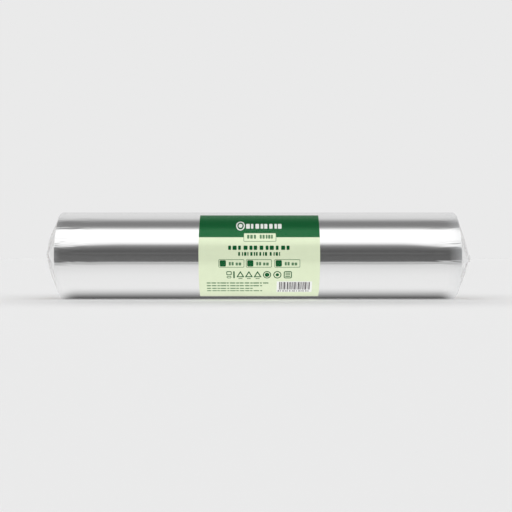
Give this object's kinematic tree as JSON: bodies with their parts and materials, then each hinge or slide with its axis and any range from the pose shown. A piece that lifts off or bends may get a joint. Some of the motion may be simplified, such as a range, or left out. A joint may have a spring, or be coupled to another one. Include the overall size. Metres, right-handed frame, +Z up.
{
  "type": "foil roll",
  "caption": "Catering roll of aluminium foil wound on a paperboard core, with a label round its front and clear shrink film gathered at both ends",
  "frame": {"origin": "the centre of the small flat on which the roll rests, below the middle of the winding", "axes": "+X runs along the roll, the label faces -Y, and +Z is up"},
  "size_m": [0.494, 0.1, 0.0995],
  "materials": {
    "paperboard": "uncoated brown paperboard, spirally wound",
    "foil": "bright rolled foil, nearly a mirror",
    "label_paper": "coated paper, pale green with a dark green head",
    "film": "clear glossy shrink film"
  },
  "bodies": {
    "root": {"core_tube": "paperboard", "foil_winding": "foil", "paper_label": "label_paper", "shrink_film": "film"}
  },
  "joints": []
}
